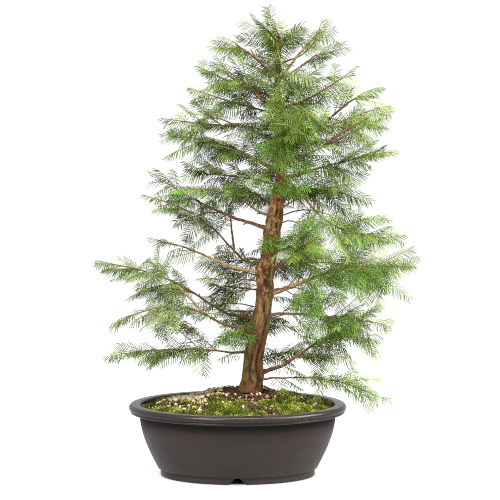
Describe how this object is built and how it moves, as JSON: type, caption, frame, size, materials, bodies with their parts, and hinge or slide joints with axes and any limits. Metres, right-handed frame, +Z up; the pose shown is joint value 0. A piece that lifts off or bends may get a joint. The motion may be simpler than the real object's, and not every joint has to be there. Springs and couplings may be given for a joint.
{
  "type": "dawn redwood bonsai in a plastic pot",
  "caption": "Young dawn redwood grown as a bonsai, with a leaning tapered trunk, bare boughs and feathery green foliage, in an oval dark plastic training pot.",
  "frame": {"origin": "under the middle of the whole plant's box, on the level of the pot's underside", "axes": "+Z up, +X to the right along the pot's long side, -Y to the front"},
  "size_m": [0.5298, 0.3292, 0.7603],
  "materials": {
    "pot": "dark brown-grey moulded plastic, satin",
    "soil": "damp potting grit and bark",
    "moss": "short bright moss",
    "bark": "flaking red-brown bark",
    "young_bark": "smooth young bark",
    "foliage": "soft flat needles, satin"
  },
  "bodies": {
    "root": {"pot": "pot", "soil": "soil", "moss": "moss", "trunk": "bark", "bough_left_1": "young_bark", "bough_left_11": "young_bark", "bough_left_12": "young_bark", "bough_left_13": "young_bark", "bough_left_2": "young_bark", "bough_left_3": "young_bark", "bough_left_4": "young_bark", "bough_left_5": "young_bark", "bough_left_6": "young_bark", "bough_left_7": "young_bark", "bough_left_8": "young_bark", "bough_left_9": "young_bark", "bough_right_1": "young_bark", "bough_right_10": "young_bark", "bough_right_12": "young_bark", "bough_right_13": "young_bark", "bough_right_2": "young_bark", "bough_right_3": "young_bark", "bough_right_4": "young_bark", "bough_right_7": "young_bark", "bough_right_8": "young_bark", "bough_right_9": "young_bark", "foliage_back_1": "foliage", "foliage_back_2": "foliage", "foliage_back_3": "foliage", "foliage_back_4": "foliage", "foliage_front_1": "foliage", "foliage_front_2": "foliage", "foliage_front_3": "foliage", "foliage_left_1": "foliage", "foliage_left_10": "foliage", "foliage_left_11": "foliage", "foliage_left_12": "foliage", "foliage_left_13": "foliage", "foliage_left_2": "foliage", "foliage_left_3": "foliage", "foliage_left_4": "foliage", "foliage_left_5": "foliage", "foliage_left_6": "foliage", "foliage_left_7": "foliage", "foliage_left_8": "foliage", "foliage_left_9": "foliage", "foliage_right_1": "foliage", "foliage_right_10": "foliage", "foliage_right_11": "foliage", "foliage_right_12": "foliage", "foliage_right_13": "foliage", "foliage_right_2": "foliage", "foliage_right_3": "foliage", "foliage_right_4": "foliage", "foliage_right_5": "foliage", "foliage_right_6": "foliage", "foliage_right_7": "foliage", "foliage_right_8": "foliage", "foliage_right_9": "foliage", "foliage_top": "foliage"}
  },
  "joints": []
}
